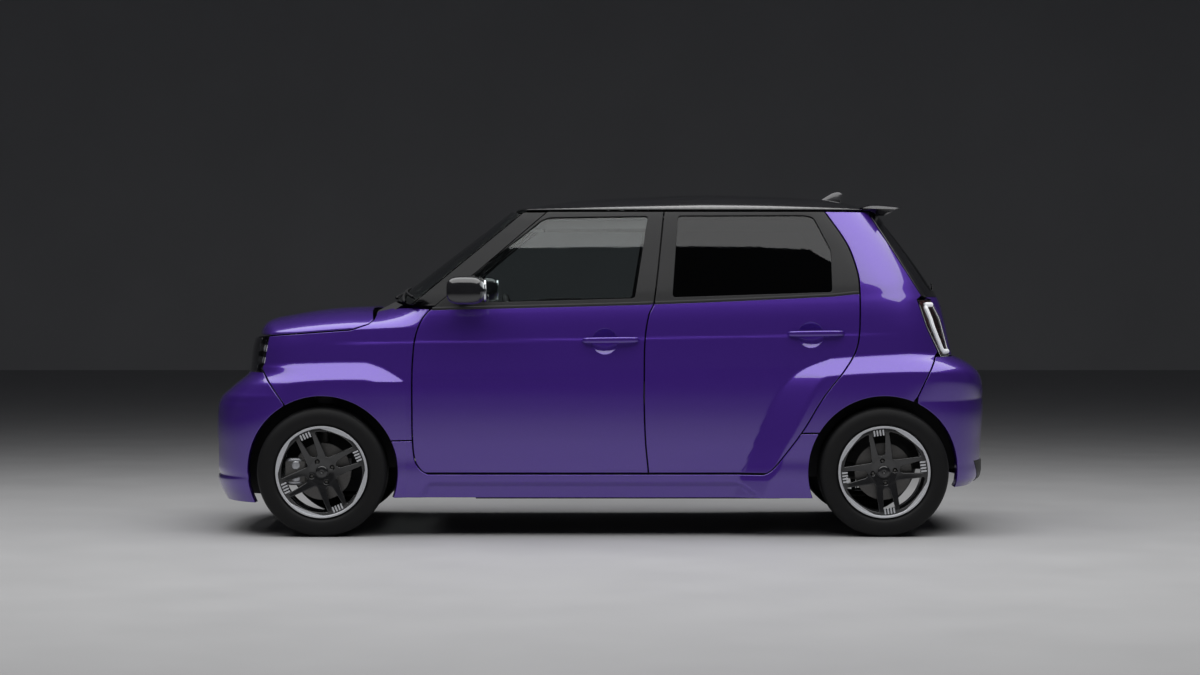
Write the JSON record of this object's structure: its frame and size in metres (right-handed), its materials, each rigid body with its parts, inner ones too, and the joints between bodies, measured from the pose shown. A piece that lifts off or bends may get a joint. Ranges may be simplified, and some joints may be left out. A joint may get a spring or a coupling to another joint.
{
  "type": "small electric five-door hatchback",
  "caption": "Small electric hatchback in deep violet with a black roof, flared arches, split-spoke black wheels and opening doors, hood and tailgate",
  "frame": {"origin": "on the ground below the middle of the car", "axes": "front -X, left -Y, up +Z"},
  "size_m": [3.5599, 1.788, 1.5636],
  "materials": {
    "paint": "gloss",
    "gloss_black": "gloss",
    "alloy": "gloss",
    "trim": "matte",
    "steel": "satin",
    "tyre": "matte",
    "glass": "gloss",
    "tinted_glass": "gloss",
    "lamp": "gloss",
    "fabric": "matte"
  },
  "bodies": {
    "body": {"floor_pan": "steel", "side_skirts": "paint", "fenders": "paint", "quarters": "paint", "cabin_frame": "gloss_black", "roof": "gloss_black", "windscreen": "glass", "front_bumper": "paint", "rear_bumper": "paint", "front_panel": "gloss_black", "headlamps": "lamp", "tail_lamps": "lamp", "cowl": "trim", "dashboard": "trim", "front_seats": "fabric", "rear_seat": "fabric", "battery_pack": "trim", "drive_motor": "alloy", "front_suspension": "trim", "rear_axle": "trim", "wheel_liners": "trim"},
    "door_front_left": {"door_front_left": "paint", "glass_front_left": "glass", "mirror_left": "gloss_black"},
    "door_front_right": {"door_front_right": "paint", "glass_front_right": "glass", "mirror_right": "gloss_black"},
    "door_rear_left": {"door_rear_left": "paint", "glass_rear_left": "tinted_glass"},
    "door_rear_right": {"door_rear_right": "paint", "glass_rear_right": "tinted_glass"},
    "tailgate": {"tailgate": "paint", "rear_glass": "glass", "spoiler": "gloss_black"},
    "hood": {"hood": "paint"},
    "knuckle_left": {"knuckle_left": "steel"},
    "knuckle_right": {"knuckle_right": "steel"},
    "wheel_front_left": {"tyre_front_left": "tyre", "wheel_front_left": "alloy"},
    "wheel_front_right": {"tyre_front_right": "tyre", "wheel_front_right": "alloy"},
    "wheel_rear_left": {"tyre_rear_left": "tyre", "wheel_rear_left": "alloy"},
    "wheel_rear_right": {"tyre_rear_right": "tyre", "wheel_rear_right": "alloy"},
    "steering_wheel": {"steering_wheel": "trim"}
  },
  "joints": [
    {"name": "door_front_left_hinge", "type": "hinge", "parent": "body", "child": "door_front_left", "pos_m": [-0.8438, -0.72864, 0.64635], "axis": [0, 0, -1], "range_deg": [0, 65]},
    {"name": "door_rear_left_hinge", "type": "hinge", "parent": "body", "child": "door_rear_left", "pos_m": [0.19822, -0.73499, 0.64635], "axis": [0, 0, -1], "range_deg": [0, 70]},
    {"name": "door_front_right_hinge", "type": "hinge", "parent": "body", "child": "door_front_right", "pos_m": [-0.8438, 0.72864, 0.64635], "axis": [0, 0, 1], "range_deg": [0, 65]},
    {"name": "door_rear_right_hinge", "type": "hinge", "parent": "body", "child": "door_rear_right", "pos_m": [0.19822, 0.73499, 0.64635], "axis": [0, 0, 1], "range_deg": [0, 70]},
    {"name": "tailgate_hinge", "type": "hinge", "parent": "body", "child": "tailgate", "pos_m": [1.19332, 0, 1.48877], "axis": [0, -1, 0], "range_deg": [0, 78]},
    {"name": "hood_hinge", "type": "hinge", "parent": "body", "child": "hood", "pos_m": [-0.99044, 0, 0.9579], "axis": [0, 1, 0], "range_deg": [0, 50]},
    {"name": "steer_left", "type": "hinge", "parent": "body", "child": "knuckle_left", "pos_m": [-1.247, -0.57383, 0.31775], "axis": [0, 0.1908, 0.9816], "range_deg": [-33, 33]},
    {"name": "steer_right", "type": "hinge", "parent": "body", "child": "knuckle_right", "pos_m": [-1.247, 0.57383, 0.31775], "axis": [0, -0.1908, 0.9816], "range_deg": [-33, 33]},
    {"name": "steering_column", "type": "hinge", "parent": "body", "child": "steering_wheel", "pos_m": [-0.4658, 0.3199, 0.868], "axis": [0.9135, 0, 0.4067], "range_deg": [-462, 462]},
    {"name": "wheel_front_left_spin", "type": "hinge", "parent": "knuckle_left", "child": "wheel_front_left", "pos_m": [-1.247, -0.67203, 0.292], "axis": [0, 1, 0], "continuous": true},
    {"name": "wheel_front_right_spin", "type": "hinge", "parent": "knuckle_right", "child": "wheel_front_right", "pos_m": [-1.247, 0.67203, 0.292], "axis": [0, 1, 0], "continuous": true},
    {"name": "wheel_rear_left_spin", "type": "hinge", "parent": "body", "child": "wheel_rear_left", "pos_m": [1.273, -0.67203, 0.292], "axis": [0, 1, 0], "continuous": true},
    {"name": "wheel_rear_right_spin", "type": "hinge", "parent": "body", "child": "wheel_rear_right", "pos_m": [1.273, 0.67203, 0.292], "axis": [0, 1, 0], "continuous": true}
  ],
  "couplings": [
    {"joint": "steer_right", "follows": "steer_left", "ratio": 1},
    {"joint": "steering_column", "follows": "steer_left", "ratio": 14}
  ]
}
